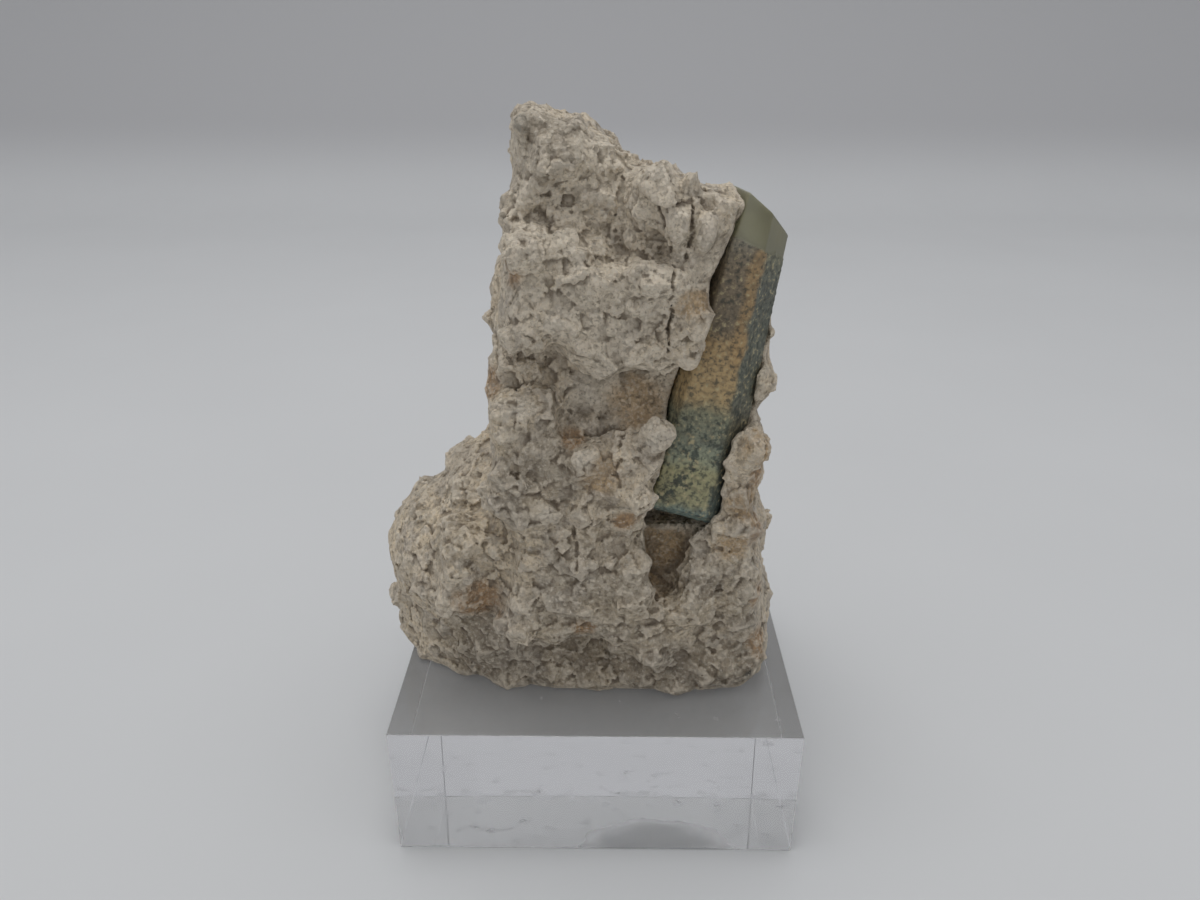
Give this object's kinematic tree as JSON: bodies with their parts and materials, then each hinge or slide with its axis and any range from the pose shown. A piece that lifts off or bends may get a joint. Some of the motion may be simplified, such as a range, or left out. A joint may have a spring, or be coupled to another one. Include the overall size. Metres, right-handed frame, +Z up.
{
  "type": "aquamarine crystal specimen on display block",
  "caption": "Tapered six-sided aquamarine crystal set in a boot-shaped piece of pale feldspar rock, standing on a clear square acrylic block.",
  "frame": {"origin": "middle of the display block's underside, which stands on the table", "axes": "+Z up along the specimen's height, -Y towards the viewer and the side that shows the crystal, +X towards the crystal"},
  "size_m": [0.0552, 0.0508, 0.0899],
  "materials": {
    "feldspar": "rough broken rock",
    "beryl": "crusted crystal with a clean pale green tip",
    "clear_acrylic": "polished clear acrylic"
  },
  "bodies": {
    "root": {"matrix": "feldspar", "aquamarine": "beryl", "display_block": "clear_acrylic"}
  },
  "joints": []
}
